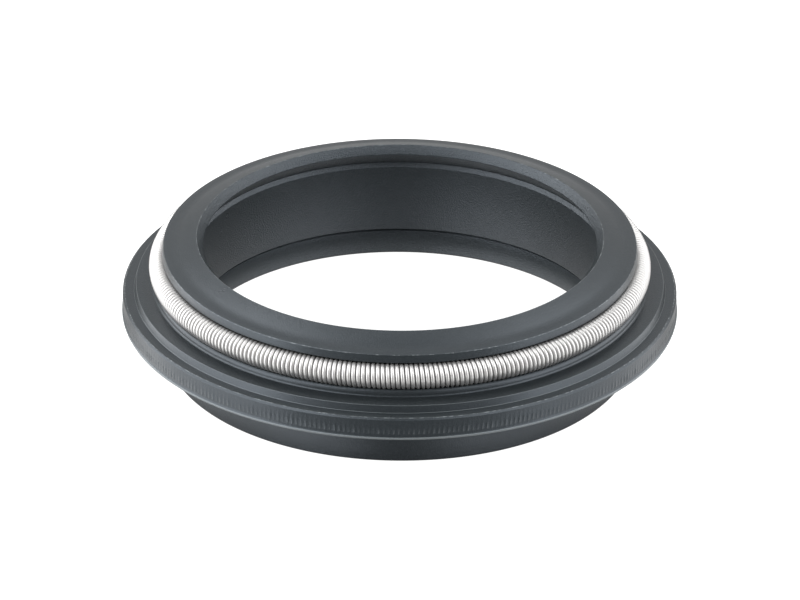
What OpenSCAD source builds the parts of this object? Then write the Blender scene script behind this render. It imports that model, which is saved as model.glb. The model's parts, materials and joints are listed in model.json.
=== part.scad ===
// Dust seal for the head of a dropper seatpost: a moulded rubber ring with a wiper lip,
// a flange and a press-in skirt, and a close-wound garter spring in a groove round the lip.

/* [Post and bore] */
// Diameter of the sliding post that the lip wipes
post_d = 25; // [20:0.1:32]
// How much smaller the free lip is than the post, on the diameter
lip_interference = 0.2; // [0.1:0.05:0.8]
// Clearance between the post and the wall below the lip, on the radius
post_clearance = 0.54; // [0.3:0.02:1]
// Height of the cylindrical land at the lip's wiping edge
lip_land_h = 0.12; // [0.08:0.01:0.2]
// Depth of the relief at the foot of the bore, on the radius
relief_depth = 0.41; // [0.15:0.01:0.6]
// Height of the relief at the foot of the bore
relief_h = 1.9; // [1:0.1:2.6]
// Chamfer at the foot of the bore
relief_chamfer = 0.15; // [0.05:0.05:0.3]

/* [Skirt and flange] */
// Wall of the press-in skirt at the relief
skirt_wall = 1.35; // [0.9:0.05:2]
// Height of the skirt under the flange
skirt_h = 3.1; // [2:0.1:5]
// Lead-in chamfer at the foot of the skirt
skirt_lead = 0.12; // [0.05:0.01:0.3]
// How far the flange stands out from the skirt
flange_overhang = 2.7; // [2.2:0.1:4]
// Thickness of the flange
flange_t = 1.5; // [1:0.1:2.5]
// Corner radius at the top edge of the flange
flange_top_round = 0.22; // [0.05:0.01:0.3]
// Corner radius at the lower edge of the flange
flange_low_round = 0.1; // [0.05:0.01:0.2]
// Fillet between the skirt and the underside of the flange
skirt_fillet = 0.15; // [0.05:0.01:0.3]

/* [Raised land and shoulder] */
// Width of the low outer ring on top of the flange
outer_ring_w = 0.66; // [0.4:0.02:1]
// Height of the raised land over the outer ring
land_h = 0.34; // [0.15:0.01:0.6]
// Horizontal run of the slope up to the raised land
land_slope = 0.18; // [0.05:0.01:0.3]
// Corner radius at the two edges of that slope
land_round = 0.08; // [0.02:0.01:0.12]
// Height of the shoulder over the raised land
shoulder_h = 0.66; // [0.4:0.02:1]
// How far the shoulder's foot stands out from the neck under the lip
shoulder_w = 1.64; // [1.4:0.02:2]
// Horizontal run of the shoulder's sloping face
shoulder_slope = 0.25; // [0.1:0.01:0.4]
// Fillet at the foot of the shoulder
shoulder_fillet = 0.12; // [0.05:0.01:0.3]

/* [Wiper lip] */
// Wall of the neck behind the spring
neck_wall = 1.17; // [0.9:0.01:2]
// How far the lip's rim overhangs the neck
rim_overhang = 0.7; // [0.4:0.01:1]
// Height of the rim's top edge over the centre of the spring
rim_h = 1.39; // [1:0.01:1.8]
// Corner radius at the rim's top edge
rim_round = 0.06; // [0.02:0.01:0.12]
// Rise of the lip from its rim to its crest
crest_rise = 0.61; // [0.3:0.01:1]
// Rise of the steeper outer part of the lip's top
outer_rise = 0.41; // [0.2:0.01:0.55]
// Width of that outer part
outer_rise_w = 0.98; // [0.6:0.01:1.4]
// Width of the bevel from the crest in to the wiping edge
bevel_w = 0.42; // [0.3:0.01:0.8]
// Drop of that bevel
bevel_h = 0.5; // [0.3:0.01:0.8]
// Drop of the lip's hollow underside, from the land to its undercut
underside_h = 0.89; // [0.6:0.01:1.3]
// Depth of the undercut behind the wall of the bore, on the radius
undercut_depth = 0.19; // [0.1:0.01:0.4]
// Height of the slope from the undercut in to the top of that wall
undercut_h = 0.22; // [0.15:0.01:0.5]
// Fillet at the bottom of the undercut
undercut_fillet = 0.06; // [0.02:0.01:0.12]

/* [Garter spring] */
// Outside diameter of the coil
coil_d = 1.6; // [1.2:0.01:2]
// Diameter of the spring wire
wire_d = 0.27; // [0.2:0.01:0.35]
// Gap between neighbouring turns on the inside of the ring
turn_gap = 0.01; // [0.005:0.005:0.05]
// Gap between the coil and its groove
groove_clearance = 0.03; // [0.01:0.01:0.05]
// Depth of the coil's seat in the top of the shoulder
seat_depth = 0.31; // [0.1:0.01:0.4]

/* [Hidden] */
$fn = 128;

// Radii from the post outwards
lip_r = (post_d - lip_interference) / 2;
bore_r = post_d / 2 + post_clearance;
relief_r = bore_r + relief_depth;
skirt_r = relief_r + skirt_wall;
flange_r = skirt_r + flange_overhang;
land_foot_r = flange_r - outer_ring_w;
neck_r = bore_r + neck_wall;
shoulder_foot_r = neck_r + shoulder_w;
shoulder_r = shoulder_foot_r - shoulder_slope;
rim_r = neck_r + rim_overhang;
crest_r = lip_r + bevel_w;
undercut_r = bore_r + undercut_depth;
groove_r = coil_d / 2 + groove_clearance;
spring_r = neck_r + groove_r;

// Heights from the foot of the skirt upwards
flange_z = skirt_h + flange_t;
land_z = flange_z + land_h;
shoulder_z = land_z + shoulder_h;
spring_z = shoulder_z + groove_r - seat_depth;
rim_z = spring_z + rim_h;
crest_z = rim_z + crest_rise;
lip_z = crest_z - bevel_h;
underside_z = lip_z - lip_land_h;
undercut_z = underside_z - underside_h;
bore_top_z = undercut_z - undercut_h;

// The wire has flat sides, and its corners run on a helix that fits the coil
wire_sides = 3;
turn_steps = 6;
wire_facet_r = wire_d / (2 * sin(180 / wire_sides));
wire_path_r = coil_d / 2 - wire_facet_r;

// As many turns as lie side by side on the inside of the ring
inner_path_r = spring_r - wire_path_r;
turns = floor(360 / (2 * asin((wire_d + turn_gap) / (2 * inner_path_r))));
turn_angle = 360 / turns;

// Half-section of the rubber ring: radius, height and corner radius, anticlockwise
round_steps = 6;
section_corners = [
    [relief_r + relief_chamfer, 0, 0],
    [skirt_r - skirt_lead, 0, 0],
    [skirt_r, skirt_lead, 0],
    [skirt_r, skirt_h, skirt_fillet],
    [flange_r, skirt_h, flange_low_round],
    [flange_r, flange_z, flange_top_round],
    [land_foot_r, flange_z, land_round],
    [land_foot_r - land_slope, land_z, land_round],
    [shoulder_foot_r, land_z, shoulder_fillet],
    [shoulder_r, shoulder_z, 0],
    [rim_r, shoulder_z, 0],
    [rim_r, rim_z, rim_round],
    [rim_r - outer_rise_w, rim_z + outer_rise, 0],
    [crest_r, crest_z, 0],
    [lip_r, lip_z, 0],
    [lip_r, underside_z, 0],
    [undercut_r, undercut_z, undercut_fillet],
    [bore_r, bore_top_z, 0],
    [bore_r, relief_h, 0],
    [relief_r, relief_h, 0],
    [relief_r, relief_chamfer, 0]
];

function heading(from, to) = atan2(to.y - from.y, to.x - from.x);
function turn_between(before, after) = (after - before + 540) % 360 - 180;

// The arc that rounds a corner, tangent to the two edges that meet there
function rounded_corner(before, corner, after) =
    let (
        round_r = corner[2],
        came = heading(before, corner),
        turn = turn_between(came, heading(corner, after)),
        tangent = round_r * tan(abs(turn) / 2),
        start = [corner.x, corner.y] - tangent * [cos(came), sin(came)],
        centre = start + sign(turn) * round_r * [-sin(came), cos(came)]
    )
    [
        for (i = [0 : round_steps])
            let (way = came + turn * i / round_steps)
            centre + sign(turn) * round_r * [sin(way), -cos(way)]
    ];

function rounded_outline(corners) =
    let (n = len(corners))
    [
        for (i = [0 : n - 1])
            let (corner = corners[i])
            each corner[2] > 0
                ? rounded_corner(corners[(i + n - 1) % n], corner, corners[(i + 1) % n])
                : [[corner.x, corner.y]]
    ];

// One moulded rubber ring, with the round groove for the spring cut into its neck
module seal_body() {
    color("#3d434b")
        rotate_extrude()
            difference() {
                polygon(rounded_outline(section_corners));
                translate([spring_r, spring_z]) circle(r = groove_r);
            }
}

// A corner of the wire: its step along the coil and its side, where side 0 faces out of the coil
function wire_corner(step, side) =
    let (
        round_coil = 360 * step / turn_steps,
        round_ring = turn_angle * step / turn_steps,
        round_wire = 360 * side / wire_sides,
        out = wire_path_r + wire_facet_r * cos(round_wire),
        along = wire_facet_r * sin(round_wire),
        r = spring_r + out * cos(round_coil),
        z = spring_z - out * sin(round_coil)
    )
    [r * cos(round_ring) - along * sin(round_ring), r * sin(round_ring) + along * cos(round_ring), z];

// One length of wire, wound close into a coil whose ends join in a ring
module garter_spring() {
    steps = turns * turn_steps;
    corners = [
        for (step = [0 : steps - 1], side = [0 : wire_sides - 1])
            wire_corner(step, side)
    ];
    facets = [
        for (step = [0 : steps - 1], side = [0 : wire_sides - 1])
            let (
                here = step * wire_sides,
                ahead = ((step + 1) % steps) * wire_sides,
                next = (side + 1) % wire_sides
            )
            each [[here + side, here + next, ahead + next], [here + side, ahead + next, ahead + side]]
    ];
    color("#c9c6c0")
        polyhedron(corners, facets);
}

seal_body();
garter_spring();
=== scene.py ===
# Dust seal for the head of a dropper seatpost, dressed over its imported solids: a moulded rubber
# ring with a wiper lip, a flange and a skirt, and a garter spring in the groove round the lip.
import json
import math

import bpy
import numpy as np
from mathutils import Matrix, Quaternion, Vector


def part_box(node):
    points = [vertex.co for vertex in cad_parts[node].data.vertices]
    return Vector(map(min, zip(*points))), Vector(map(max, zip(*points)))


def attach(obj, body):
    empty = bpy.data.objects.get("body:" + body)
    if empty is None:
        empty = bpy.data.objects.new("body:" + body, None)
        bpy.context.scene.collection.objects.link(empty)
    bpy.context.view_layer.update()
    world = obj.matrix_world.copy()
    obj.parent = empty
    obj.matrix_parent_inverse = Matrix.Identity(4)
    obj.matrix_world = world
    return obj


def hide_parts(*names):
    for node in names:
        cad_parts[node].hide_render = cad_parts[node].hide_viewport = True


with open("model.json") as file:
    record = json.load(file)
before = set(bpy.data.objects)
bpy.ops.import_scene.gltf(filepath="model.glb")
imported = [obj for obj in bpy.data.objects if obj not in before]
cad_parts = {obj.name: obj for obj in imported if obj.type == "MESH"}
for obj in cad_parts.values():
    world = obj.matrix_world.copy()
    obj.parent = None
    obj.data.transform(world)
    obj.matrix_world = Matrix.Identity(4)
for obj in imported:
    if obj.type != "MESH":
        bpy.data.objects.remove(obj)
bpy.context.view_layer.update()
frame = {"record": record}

# Rubber ring: one moulding of dark rubber with a wiper lip on top, a round groove for the spring
# under the lip, a stepped flange that seats on the head, and a skirt that presses into its bore.
# The tool leaves a fine grain, and a bead and a row of ticks on the flange. Pale slate paints
# highlights along the edges, the bead and the ticks, and painted glints dot three edges.
mm = 0.001
mounts = {mount["name"]: mount for mount in frame["record"]["mounts"]}
lip_r = mounts["wiper_lip"]["dims"]["r_mm"] * mm
lip_land_h = mounts["wiper_lip"]["dims"]["length_mm"] * mm
lip_z = mounts["wiper_lip"]["pos_m"][2] + lip_land_h / 2
skirt_r = mounts["housing_skirt"]["dims"]["r_mm"] * mm
flange_low_z = mounts["flange_seat"]["pos_m"][2]
ring_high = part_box("seal_body")[1]
flange_r = ring_high.x
crest_z = ring_high.z

# Skirt and flange, from the foot up.
skirt_lead = 0.12 * mm
lead_round = 0.04 * mm
skirt_fillet = 0.15 * mm
bead_lift = 0.01 * mm
bead_out = 0.07 * mm
bead_half_h = 0.08 * mm
flange_t = 1.5 * mm
flange_chamfer = 0.12 * mm
flange_side_round = 0.04 * mm
flange_top_round = 0.09 * mm
outer_ring_drop = 0.12 * mm
land_inset = 0.84 * mm
land_slope = 0.12 * mm
land_h = 0.34 * mm
land_round = 0.04 * mm
bead_z = flange_low_z + bead_lift
flange_z = flange_low_z + flange_t
outer_ring_z = flange_z - outer_ring_drop
land_r = flange_r - land_inset
land_foot_r = land_r + land_slope
land_z = flange_z + land_h

# Shoulder, and the groove that the spring's coil lies in.
shoulder_foot_r = 15.54 * mm
shoulder_slope = 0.03 * mm
shoulder_h = 0.66 * mm
shoulder_fillet = 0.14 * mm
shoulder_r = shoulder_foot_r - shoulder_slope
shoulder_z = land_z + shoulder_h
spring_low, spring_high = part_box("garter_spring")
coil_d = 1.6 * mm
groove_clearance = 0.03 * mm
groove_r = coil_d / 2 + groove_clearance
spring_r = spring_high.x - coil_d / 2
spring_z = (spring_low.z + spring_high.z) / 2

# Wiper lip: a sloping rim, a slightly hollow top, a crest and a bevel down to the wiping edge.
rim_groove_r = 14.94 * mm
rim_low_r = 15.0 * mm
rim_low_round = 0.03 * mm
rim_r = 14.92 * mm
rim_h = 0.48 * mm
rim_round = 0.05 * mm
crest_rise = 0.61 * mm
crest_round = 0.06 * mm
hollow_w = 0.72 * mm
hollow_rise = 0.1 * mm
hollow_round = 3 * mm
bevel_w = 0.42 * mm
lip_edge_h = lip_land_h / 3
lip_round = 0.02 * mm
lip_low_round = 0.01 * mm
rim_z = crest_z - crest_rise
rim_low_z = rim_z - rim_h
hollow_r = rim_r - hollow_w
hollow_z = rim_z + hollow_rise
crest_r = lip_r + bevel_w
underside_z = lip_z - lip_edge_h

# Bore, from the undercut behind the lip down to the relief, with a thin slot over the relief.
bore_r = 13.04 * mm
undercut_depth = 0.21 * mm
undercut_drop = 0.99 * mm
undercut_h = 0.26 * mm
undercut_fillet = 0.06 * mm
bore_top_round = 0.1 * mm
bore_foot_round = 0.03 * mm
relief_r = 13.25 * mm
relief_h = 1.9 * mm
relief_chamfer = 0.15 * mm
relief_round = 0.03 * mm
slot_depth = 0.06 * mm
slot_h = 0.22 * mm
slot_round = 0.01 * mm
undercut_r = bore_r + undercut_depth
undercut_z = lip_z - undercut_drop
bore_top_z = undercut_z - undercut_h
slot_r = relief_r + slot_depth
slot_low_z = relief_h - slot_h

# Ticks on the flange's side.
tick_count = 360
tick_half_w = 0.045 * mm
tick_rise = 0.03 * mm
tick_end = 0.07 * mm
tick_low_z = flange_low_z + 0.29 * mm
tick_high_z = flange_low_z + 0.74 * mm


def rounded_corner(before, corner, after, round_r, steps):
    """Points on the arc that rounds a corner of the section, tangent to its two edges."""
    came = math.atan2(corner[1] - before[1], corner[0] - before[0])
    leaves = math.atan2(after[1] - corner[1], after[0] - corner[0])
    turn = (leaves - came + 3 * math.pi) % (2 * math.pi) - math.pi
    tangent = round_r * math.tan(abs(turn) / 2)
    side = math.copysign(round_r, turn)
    centre_r = corner[0] - tangent * math.cos(came) - side * math.sin(came)
    centre_z = corner[1] - tangent * math.sin(came) + side * math.cos(came)
    ways = [came + turn * step / steps for step in range(steps + 1)]
    return [(centre_r + side * math.sin(way), centre_z - side * math.cos(way)) for way in ways]


def groove_arc(steps):
    """Points round the spring's groove, from the shoulder's edge in and up to the rim."""
    run, rise = shoulder_r - shoulder_foot_r, shoulder_z - land_z
    slope = math.hypot(run, rise)
    core_r, core_z = spring_r - shoulder_foot_r, spring_z - land_z
    from_foot = (core_r * run + core_z * rise) / slope
    beside = (core_r * rise - core_z * run) / slope
    up_slope = (from_foot - math.sqrt(groove_r ** 2 - beside ** 2)) / slope
    start = math.atan2(up_slope * rise - core_z, up_slope * run - core_r)
    end = math.acos((rim_groove_r - spring_r) / groove_r) - 2 * math.pi
    ways = [start + (end - start) * step / steps for step in range(steps + 1)]
    return [(spring_r + groove_r * math.cos(way), spring_z + groove_r * math.sin(way)) for way in ways]


def edge_bead(steps):
    """Points round the small bead at the flange's lower edge."""
    ways = [math.pi * (step / steps - 0.5) for step in range(steps + 1)]
    return [(flange_r + bead_out * math.cos(way), bead_z + bead_half_h * math.sin(way)) for way in ways]


def ring_section():
    """The ring's half-section as points (radius, height), from the foot of the bore outwards."""
    # Each corner has its radius, its height, its rounding and the steps of that rounding's arc.
    corners = [
        (relief_r + relief_chamfer, 0, relief_round, 1),
        (skirt_r - skirt_lead, 0, lead_round, 1),
        (skirt_r, skirt_lead, lead_round, 1),
        (skirt_r, flange_low_z, skirt_fillet, 3),
        *[(r, z, 0, 0) for r, z in edge_bead(5)],
        (flange_r, tick_low_z, 0, 0),
        (flange_r, tick_low_z + tick_end, 0, 0),
        (flange_r, tick_high_z - tick_end, 0, 0),
        (flange_r, tick_high_z, 0, 0),
        (flange_r, outer_ring_z - flange_chamfer, flange_side_round, 3),
        (flange_r - flange_chamfer, outer_ring_z, flange_top_round, 4),
        (land_foot_r, outer_ring_z, land_round, 3),
        (land_r, land_z, land_round, 3),
        (shoulder_foot_r, land_z, shoulder_fillet, 4),
        *[(r, z, 0, 0) for r, z in groove_arc(6)],
        (rim_low_r, rim_low_z, rim_low_round, 2),
        (rim_r, rim_z, rim_round, 4),
        (hollow_r, hollow_z, hollow_round, 5),
        (crest_r, crest_z, crest_round, 4),
        (lip_r, lip_z, lip_round, 1),
        (lip_r, underside_z, lip_low_round, 1),
        (undercut_r, undercut_z, undercut_fillet, 3),
        (bore_r, bore_top_z, bore_top_round, 3),
        (bore_r, relief_h, bore_foot_round, 2),
        (slot_r, relief_h, slot_round, 1),
        (slot_r, slot_low_z, slot_round, 1),
        (relief_r, slot_low_z, slot_round, 1),
        (relief_r, relief_chamfer, relief_round, 1),
    ]
    points = []
    for i, (r, z, round_r, steps) in enumerate(corners):
        if steps:
            after = corners[(i + 1) % len(corners)]
            points += rounded_corner(corners[i - 1], (r, z), after, round_r, steps)
        else:
            points.append((r, z))
    return np.array(points)


section = ring_section()


def nearest_row(r, z):
    """The row of the section's point that lies nearest to a place on it."""
    return np.argmin(np.hypot(section[:, 0] - r, section[:, 1] - z))


crest_row = nearest_row(crest_r, crest_z)
flange_edge_row = nearest_row(flange_r - flange_chamfer, outer_ring_z)
rim_row = nearest_row(rim_r, rim_z)
in_tick_band = (section[:, 0] == flange_r) & (section[:, 1] > tick_low_z) & (section[:, 1] < tick_high_z)

# The section stands in a column at the middle and at both sides of each tick.
across_tick = np.array([-1, 0, 1]) * tick_half_w / flange_r
columns = tick_count * len(across_tick)
column_points_r = np.tile(section[:, 0], (columns, 1))
column_points_z = np.tile(section[:, 1], (columns, 1))

# Each tick is a small upright ridge, and the tool has printed some more firmly than others.
weakest_tick = 0.35
random_moulding = np.random.default_rng(7)
tick_strength = random_moulding.uniform(weakest_tick, 1.0, tick_count)
tick_column = np.outer(tick_strength, [0, 1, 0]).ravel()
column_points_r[:, in_tick_band] += tick_rise * tick_column[:, None]

# Flash leaves the flange's upper edge slightly uneven.
flash_size = 0.003 * mm
column_points_z[:, flange_edge_row] += random_moulding.normal(0, flash_size, columns)

# Painted highlights: a thin pale line along the edges, more of it on the bead and low on the ticks.
highlight_paint = np.zeros((columns, len(section)))
highlighted_edges = [
    (flange_r - flange_chamfer, outer_ring_z, 0.05),
    (flange_r, outer_ring_z - flange_chamfer, 0.05),
    (land_foot_r, outer_ring_z, 0.45),
    (land_r, land_z, 0.35),
    (rim_r, rim_z, 0.1),
    (crest_r, crest_z, 0.1),
    (bore_r, relief_h, 0.5),
    (relief_r, relief_chamfer, 0.1),
]
for r, z, edge_highlight in highlighted_edges:
    highlight_paint[:, nearest_row(r, z)] = edge_highlight
bead_highlight = 0.42
highlight_paint[:, section[:, 0] > flange_r] = bead_highlight
tick_highlight_low = 0.3
tick_highlight_high = 0.05
tick_middle_z = (tick_low_z + tick_high_z) / 2
tick_highlight = np.where(section[:, 1] < tick_middle_z, tick_highlight_low, tick_highlight_high)
highlight_paint[:, in_tick_band] += tick_column[:, None] * tick_highlight[in_tick_band]

# Painted glints dot the crest, the flange's upper edge and the rim, most of them faint.
glint_strength = 0.65
glint_rarity = 4
for row in (crest_row, flange_edge_row, rim_row):
    glint_dots = glint_strength * random_moulding.uniform(0, 1, columns) ** glint_rarity
    highlight_paint[:, row - 1:row + 2] += glint_dots[:, None]

# The tool's grain is coarsest on the bevel of the lip and next in the bore.
bevel_grain = 1.0
bore_grain = 0.7
outer_grain = 0.25
on_bevel = (section[:, 0] < crest_r) & (section[:, 1] > lip_z)
in_bore = (section[:, 0] < relief_r + slot_round) & (section[:, 1] < lip_z)
grain = np.where(on_bevel, bevel_grain, np.where(in_bore, bore_grain, outer_grain))


def smooth_mesh(name, vertices, faces):
    """A smooth-shaded mesh object in the scene."""
    mesh = bpy.data.meshes.new(name)
    mesh.from_pydata(vertices.tolist(), [], faces.tolist())
    mesh.shade_smooth()
    piece = bpy.data.objects.new(name, mesh)
    bpy.context.scene.collection.objects.link(piece)
    return piece


def closed_grid(loops, sides):
    """Quads of a closed tube, whose loops of points lie one after another."""
    loop, side = np.meshgrid(np.arange(loops), np.arange(sides), indexing="ij")
    next_loop = (loop + 1) % loops
    next_side = (side + 1) % sides
    quad = [loop * sides + side, next_loop * sides + side,
            next_loop * sides + next_side, loop * sides + next_side]
    return np.stack(quad, axis=-1).reshape(-1, 4)


tick_way = 2 * math.pi * np.arange(tick_count) / tick_count
round_ring = (tick_way[:, None] + across_tick).ravel()
ring_vertices = np.stack([column_points_r * np.cos(round_ring)[:, None],
                          column_points_r * np.sin(round_ring)[:, None],
                          column_points_z], axis=-1).reshape(-1, 3)
rubber_ring = smooth_mesh("rubber_ring", ring_vertices, closed_grid(columns, len(section)))
by_area = rubber_ring.modifiers.new("flat faces lead", "WEIGHTED_NORMAL")
by_area.mode = "FACE_AREA"
by_area.keep_sharp = True
grain_layer = rubber_ring.data.attributes.new("tool_grain", "FLOAT", "POINT")
grain_layer.data.foreach_set("value", np.tile(grain, columns))
# The painted highlights and glints go to the material as a point attribute.
highlight_layer = rubber_ring.data.attributes.new("pale_wear", "FLOAT", "POINT")
highlight_layer.data.foreach_set("value", highlight_paint.ravel())


def unevenness_group():
    """Node group for a fine unevenness of a surface: a grain and, over it, broad soft patches."""
    group = bpy.data.node_groups.new("fine_unevenness", "ShaderNodeTree")
    group.interface.new_socket("Place", in_out="INPUT", socket_type="NodeSocketVector")
    group.interface.new_socket("Grains per Metre", in_out="INPUT", socket_type="NodeSocketFloat")
    group.interface.new_socket("Patches per Metre", in_out="INPUT", socket_type="NodeSocketFloat")
    group.interface.new_socket("Grain", in_out="OUTPUT", socket_type="NodeSocketFloat")
    group.interface.new_socket("Patch", in_out="OUTPUT", socket_type="NodeSocketFloat")
    nodes, links = group.nodes, group.links
    inputs = nodes.new("NodeGroupInput")
    outputs = nodes.new("NodeGroupOutput")
    fine = nodes.new("ShaderNodeTexNoise")
    fine.inputs["Detail"].default_value = 2
    broad = nodes.new("ShaderNodeTexNoise")
    broad.inputs["Detail"].default_value = 3
    links.new(inputs.outputs["Place"], fine.inputs["Vector"])
    links.new(inputs.outputs["Place"], broad.inputs["Vector"])
    links.new(inputs.outputs["Grains per Metre"], fine.inputs["Scale"])
    links.new(inputs.outputs["Patches per Metre"], broad.inputs["Scale"])
    links.new(fine.outputs["Fac"], outputs.inputs["Grain"])
    links.new(broad.outputs["Fac"], outputs.inputs["Patch"])
    return group


fine_unevenness = unevenness_group()


def value_between(nodes, links, factor, low, high):
    """A value that runs from low to high as the factor runs from 0 to 1."""
    span = nodes.new("ShaderNodeMapRange")
    span.inputs["To Min"].default_value = low
    span.inputs["To Max"].default_value = high
    links.new(factor, span.inputs["Value"])
    return span.outputs["Result"]


def colour_between(nodes, links, factor, dark, light):
    """A colour that runs from dark to light as the factor runs from 0 to 1."""
    mix = nodes.new("ShaderNodeMix")
    mix.data_type = "RGBA"
    mix.inputs["A"].default_value = (*dark, 1)
    mix.inputs["B"].default_value = (*light, 1)
    links.new(factor, mix.inputs["Factor"])
    return mix.outputs["Result"]


def satin_rubber():
    """Dark slate rubber with a satin skin: a moulded grain, soft patches of gloss, painted pale highlights.
    """
    deep_slate = (0.002, 0.003, 0.0035)
    light_slate = (0.02, 0.024, 0.026)
    # Pale slate for the painted highlights and glints.
    highlight_slate = (0.21, 0.23, 0.235)
    grain_depth = 0.05 * mm
    material = bpy.data.materials.new("satin_rubber")
    material.use_nodes = True
    nodes, links = material.node_tree.nodes, material.node_tree.links
    shader = nodes["Principled BSDF"]
    shader.inputs["IOR"].default_value = 1.49
    shader.inputs["Specular Tint"].default_value = (0.79, 0.885, 1, 1)
    place = nodes.new("ShaderNodeTexCoord")
    uneven = nodes.new("ShaderNodeGroup")
    uneven.node_tree = fine_unevenness
    uneven.inputs["Grains per Metre"].default_value = 12500
    uneven.inputs["Patches per Metre"].default_value = 500
    links.new(place.outputs["Object"], uneven.inputs["Place"])
    coarseness = nodes.new("ShaderNodeAttribute")
    coarseness.attribute_name = "tool_grain"
    # Where the painted highlights and glints lie, pale slate is mixed over the rubber's tone.
    highlight_attribute = nodes.new("ShaderNodeAttribute")
    highlight_attribute.attribute_name = "pale_wear"
    tint = colour_between(nodes, links, uneven.outputs["Grain"], deep_slate, light_slate)
    painted_edge_highlight = nodes.new("ShaderNodeMix")
    painted_edge_highlight.data_type = "RGBA"
    painted_edge_highlight.inputs["B"].default_value = (*highlight_slate, 1)
    links.new(tint, painted_edge_highlight.inputs["A"])
    links.new(highlight_attribute.outputs["Fac"], painted_edge_highlight.inputs["Factor"])
    links.new(painted_edge_highlight.outputs["Result"], shader.inputs["Base Color"])
    links.new(value_between(nodes, links, uneven.outputs["Patch"], 0.24, 0.36), shader.inputs["Roughness"])
    relief = nodes.new("ShaderNodeMath")
    relief.operation = "MULTIPLY"
    links.new(uneven.outputs["Grain"], relief.inputs[0])
    links.new(coarseness.outputs["Fac"], relief.inputs[1])
    bump = nodes.new("ShaderNodeBump")
    bump.inputs["Strength"].default_value = 1
    bump.inputs["Distance"].default_value = grain_depth
    links.new(relief.outputs["Value"], bump.inputs["Height"])
    links.new(bump.outputs["Normal"], shader.inputs["Normal"])
    return material


rubber_ring.data.materials.append(satin_rubber())
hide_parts("seal_body")
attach(rubber_ring, "root")

# Garter spring: one length of round spring-steel wire wound into a close coil, its ends joined into
# a ring. It snaps into the groove and draws the lip in on the post.
wire_d = 0.285 * mm
turns = 323
points_per_turn = 24
wire_sides = 10
turn_jitter = 0.006 * mm
path_r = coil_d / 2 - wire_d / 2
coil_steps = turns * points_per_turn

# The turns are not quite evenly spaced, and each turn eases over into the next.
random_winding = np.random.default_rng(11)
turn_shift = np.repeat(random_winding.normal(0, turn_jitter, turns), points_per_turn)
past_the_join = np.concatenate([turn_shift[-points_per_turn:], turn_shift, turn_shift[:points_per_turn]])
over_a_turn = np.ones(points_per_turn) / points_per_turn
turn_shift = np.convolve(past_the_join, over_a_turn, "same")[points_per_turn:-points_per_turn]

way = np.arange(coil_steps) / coil_steps
round_spring = 2 * math.pi * way + turn_shift / spring_r
round_coil = -2 * math.pi * turns * way
outward = np.stack([np.cos(round_spring), np.sin(round_spring), np.zeros(coil_steps)], axis=-1)
upward = np.array([0, 0, 1.0])
from_core = np.cos(round_coil)[:, None] * outward + np.sin(round_coil)[:, None] * upward
core = spring_r * outward + spring_z * upward
centre_line = core + path_r * from_core
along = np.roll(centre_line, -1, axis=0) - np.roll(centre_line, 1, axis=0)
along /= np.linalg.norm(along, axis=1)[:, None]
sideways = np.cross(along, from_core)
round_wire = 2 * math.pi * np.arange(wire_sides) / wire_sides
wire_vertices = (centre_line[:, None, :]
                 + wire_d / 2 * np.cos(round_wire)[None, :, None] * from_core[:, None, :]
                 + wire_d / 2 * np.sin(round_wire)[None, :, None] * sideways[:, None, :])
steel_spring = smooth_mesh("steel_spring", wire_vertices.reshape(-1, 3), closed_grid(coil_steps, wire_sides))


def bright_wire():
    """Drawn steel wire: bright and satin, with a faint unevenness in its tone and gloss."""
    dull_steel = (0.41, 0.405, 0.4)
    bright_steel = (0.47, 0.465, 0.46)
    material = bpy.data.materials.new("bright_wire")
    material.use_nodes = True
    nodes, links = material.node_tree.nodes, material.node_tree.links
    shader = nodes["Principled BSDF"]
    shader.inputs["Metallic"].default_value = 0.8
    shader.inputs["Specular Tint"].default_value = (0.25, 0.25, 0.25, 1)
    place = nodes.new("ShaderNodeTexCoord")
    uneven = nodes.new("ShaderNodeGroup")
    uneven.node_tree = fine_unevenness
    uneven.inputs["Patches per Metre"].default_value = 900
    links.new(place.outputs["Object"], uneven.inputs["Place"])
    tint = colour_between(nodes, links, uneven.outputs["Patch"], dull_steel, bright_steel)
    links.new(tint, shader.inputs["Base Color"])
    links.new(value_between(nodes, links, uneven.outputs["Patch"], 0.32, 0.42), shader.inputs["Roughness"])
    return material


steel_spring.data.materials.append(bright_wire())
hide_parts("garter_spring")
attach(steel_spring, "root")

# Studio: a pale glossy floor, large soft panels at both sides, in front and behind, and the camera
# in front of the seal and above it, on a long lens.
half_floor = 0.8
floor_corners = [(-half_floor, -half_floor, 0), (half_floor, -half_floor, 0),
                 (half_floor, half_floor, 0), (-half_floor, half_floor, 0)]
floor_mesh = bpy.data.meshes.new("floor")
floor_mesh.from_pydata(floor_corners, [], [(0, 1, 2, 3)])
floor = bpy.data.objects.new("floor", floor_mesh)
bpy.context.scene.collection.objects.link(floor)


def pale_floor():
    """Glossy board that glows a little, and enough more towards the camera to look plain white."""
    glow_on_seal = 0.28
    more_glow_seen = 0.8
    material = bpy.data.materials.new("pale_floor")
    material.use_nodes = True
    nodes, links = material.node_tree.nodes, material.node_tree.links
    shader = nodes["Principled BSDF"]
    shader.inputs["Base Color"].default_value = (0.5, 0.5, 0.5, 1)
    shader.inputs["Metallic"].default_value = 1
    shader.inputs["Roughness"].default_value = 0.1
    shader.inputs["Emission Color"].default_value = (1, 1, 1, 1)
    seen = nodes.new("ShaderNodeLightPath")
    glow = nodes.new("ShaderNodeMath")
    glow.operation = "MULTIPLY_ADD"
    glow.inputs[1].default_value = more_glow_seen
    glow.inputs[2].default_value = glow_on_seal
    links.new(seen.outputs["Is Camera Ray"], glow.inputs[0])
    links.new(glow.outputs["Value"], shader.inputs["Emission Strength"])
    return material


floor_mesh.materials.append(pale_floor())

panel_distance = 0.6


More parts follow.
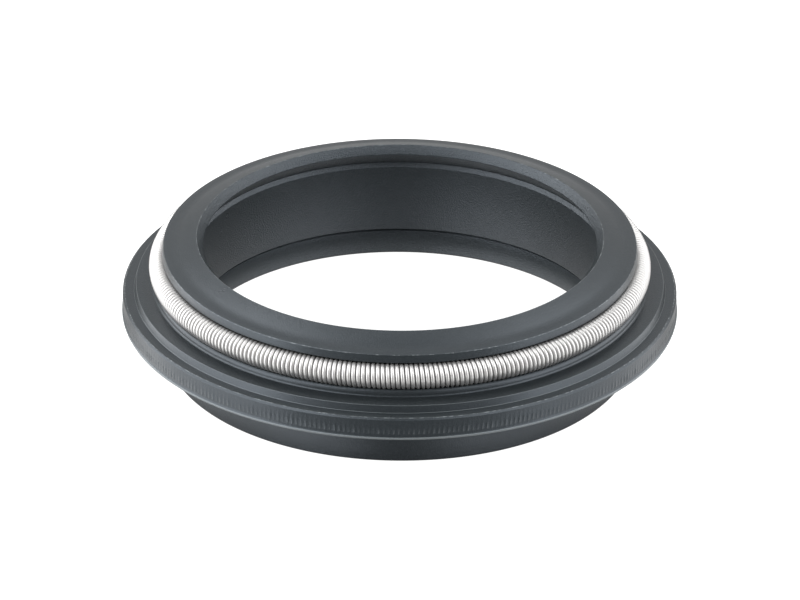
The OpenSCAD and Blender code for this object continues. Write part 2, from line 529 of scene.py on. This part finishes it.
def soft_panel(name, azimuth, elevation, width, height, brightness):
    """A rectangular softbox that faces the seal, from a direction in degrees round and up."""
    light = bpy.data.lights.new(name, "AREA")
    light.shape = "RECTANGLE"
    light.size = width
    light.size_y = height
    light.energy = math.pi * width * height * brightness
    to_panel = Vector((math.cos(math.radians(elevation)), 0, math.sin(math.radians(elevation))))
    to_panel.rotate(Quaternion((0, 0, 1), math.radians(azimuth)))
    panel = bpy.data.objects.new(name, light)
    panel.location = panel_distance * to_panel
    panel.rotation_mode = "QUATERNION"
    panel.rotation_quaternion = (-to_panel).to_track_quat("-Z", "Y")
    bpy.context.scene.collection.objects.link(panel)


soft_panel("left_panel", 180, 50, 1.0, 0.6, 3.55)
soft_panel("right_panel", 0, 50, 1.0, 0.6, 2.6)
soft_panel("left_wall", 180, 13, 1.0, 0.25, 4.7)
soft_panel("right_wall", 0, 13, 1.0, 0.25, 3.55)
soft_panel("front_left_panel", 225, 30, 0.5, 0.6, 1.0)
soft_panel("front_right_panel", 315, 30, 0.5, 0.6, 0.7)
soft_panel("back_panel", 90, 52, 0.9, 0.6, 0.55)
soft_panel("back_wall", 90, 15, 0.8, 0.3, 0.3)

world = bpy.data.worlds.new("studio_air")
world.use_nodes = True
air = world.node_tree.nodes["Background"]
air.inputs["Color"].default_value = (1, 1, 1, 1)
air.inputs["Strength"].default_value = 0.3
bpy.context.scene.world = world
bpy.context.scene.view_settings.view_transform = "Standard"

camera_height_angle = math.radians(27.68)
camera_distance = 0.443
camera_roll = math.radians(0.343)
aim = Vector((0.02 * mm, 0, 3.5 * mm))
lens = bpy.data.cameras.new("camera")
lens.lens = 315
lens.sensor_width = 36
lens.clip_start = 0.05
camera = bpy.data.objects.new("camera", lens)
back = Vector((0, -math.cos(camera_height_angle), math.sin(camera_height_angle)))
camera.location = aim + camera_distance * back
camera.rotation_mode = "QUATERNION"
camera.rotation_quaternion = (-back).to_track_quat("-Z", "Y") @ Quaternion((0, 0, 1), camera_roll)
bpy.context.scene.collection.objects.link(camera)
bpy.context.scene.camera = camera
